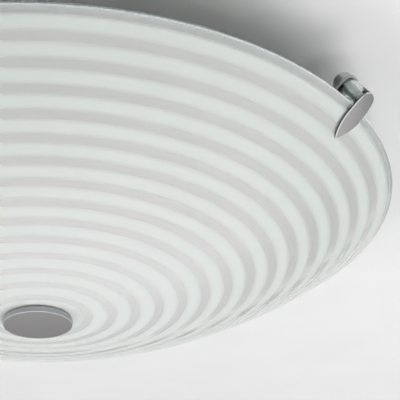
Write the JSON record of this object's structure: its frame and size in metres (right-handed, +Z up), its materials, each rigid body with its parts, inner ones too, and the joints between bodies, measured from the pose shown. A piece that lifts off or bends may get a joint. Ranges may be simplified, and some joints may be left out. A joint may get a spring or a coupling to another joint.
{
  "type": "flush mount ceiling light",
  "caption": "Flush ceiling light: domed ring-frosted glass shade held under a shallow steel pan by leaf-headed turning clips, with two screw lamps inside.",
  "frame": {"origin": "on the ceiling plane, at the centre of the strap's two screw slots and on the light's vertical axis", "axes": "+Z up into the ceiling, along the light's axis; the lamps lie along X and the strap along Y"},
  "size_m": [0.3994, 0.4088, 0.1097],
  "materials": {
    "glass": "ring-frosted outside, satin inside",
    "polished_steel": "polished plating",
    "satin_steel": "satin",
    "zinc_steel": "zinc plated",
    "white_paint": "semi-gloss powder coat",
    "clear_plastic": "clear",
    "clear_rubber": "translucent silicone",
    "white_plastic": "moulded",
    "grey_rubber": "moulded",
    "porcelain": "glazed porcelain",
    "brass": "bright",
    "aluminium": "rolled",
    "opal_plastic": "opal diffuser",
    "brown_insulation": "extruded",
    "blue_insulation": "extruded",
    "green_yellow_insulation": "extruded"
  },
  "bodies": {
    "base": {"ceiling_strap": "zinc_steel", "cable_bush": "white_plastic", "strap_studs": "zinc_steel", "strap_lock_nuts": "zinc_steel", "pan": "white_paint", "pan_washers": "zinc_steel", "pan_cap_nuts": "polished_steel", "arm_rivets": "aluminium", "glass_shade": "glass", "centre_disc": "satin_steel", "centre_gasket": "clear_rubber", "centre_seal": "clear_rubber", "centre_washer": "zinc_steel", "centre_nut": "zinc_steel", "terminal_block": "white_plastic", "terminal_inserts": "brass", "terminal_screws": "zinc_steel", "earth_screw": "brass", "earth_tag": "zinc_steel", "earth_wire": "green_yellow_insulation", "live_wires": "brown_insulation", "neutral_wires": "blue_insulation", "wire_grommets": "grey_rubber", "bracket_rivets": "aluminium", "lampholder_nipples": "brass", "nipple_nuts": "zinc_steel", "holder_shells": "brass", "holder_tongues": "brass", "arm_1": "polished_steel", "arm_2": "polished_steel", "arm_3": "polished_steel", "bracket_1": "white_paint", "lampholder_1": "porcelain", "bracket_2": "white_paint", "lampholder_2": "porcelain"},
    "clip_1": {"leaf_1": "polished_steel", "clip_rod_1": "zinc_steel", "clip_sleeve_1": "clear_plastic", "clip_washer_1": "polished_steel", "clip_nut_1": "polished_steel"},
    "clip_2": {"leaf_2": "polished_steel", "clip_rod_2": "zinc_steel", "clip_sleeve_2": "clear_plastic", "clip_washer_2": "polished_steel", "clip_nut_2": "polished_steel"},
    "clip_3": {"leaf_3": "polished_steel", "clip_rod_3": "zinc_steel", "clip_sleeve_3": "clear_plastic", "clip_washer_3": "polished_steel", "clip_nut_3": "polished_steel"},
    "lamp_1": {"lamp_1_contact": "white_plastic", "lamp_1_cap": "aluminium", "lamp_1_body": "white_plastic", "lamp_1_board": "white_plastic", "lamp_1_globe": "opal_plastic"},
    "lamp_2": {"lamp_2_contact": "white_plastic", "lamp_2_cap": "aluminium", "lamp_2_body": "white_plastic", "lamp_2_board": "white_plastic", "lamp_2_globe": "opal_plastic"}
  },
  "joints": [
    {"name": "clip_1_turn", "type": "hinge", "parent": "base", "child": "clip_1", "pos_m": [0.17705, -0.10222, -0.03709], "axis": [-0.5154, 0.2976, 0.8036], "continuous": true},
    {"name": "clip_2_turn", "type": "hinge", "parent": "base", "child": "clip_2", "pos_m": [0, 0.20444, -0.03709], "axis": [0, -0.5952, 0.8036], "continuous": true},
    {"name": "clip_3_turn", "type": "hinge", "parent": "base", "child": "clip_3", "pos_m": [-0.17705, -0.10222, -0.03709], "axis": [0.5154, 0.2976, 0.8036], "continuous": true},
    {"name": "lamp_1_turn", "type": "hinge", "parent": "base", "child": "lamp_1", "pos_m": [-0.061, 0.034, -0.054], "axis": [1, 0, 0], "range_deg": [0, 1800]},
    {"name": "lamp_2_turn", "type": "hinge", "parent": "base", "child": "lamp_2", "pos_m": [0.061, -0.034, -0.054], "axis": [-1, 0, 0], "range_deg": [0, 1800]}
  ]
}
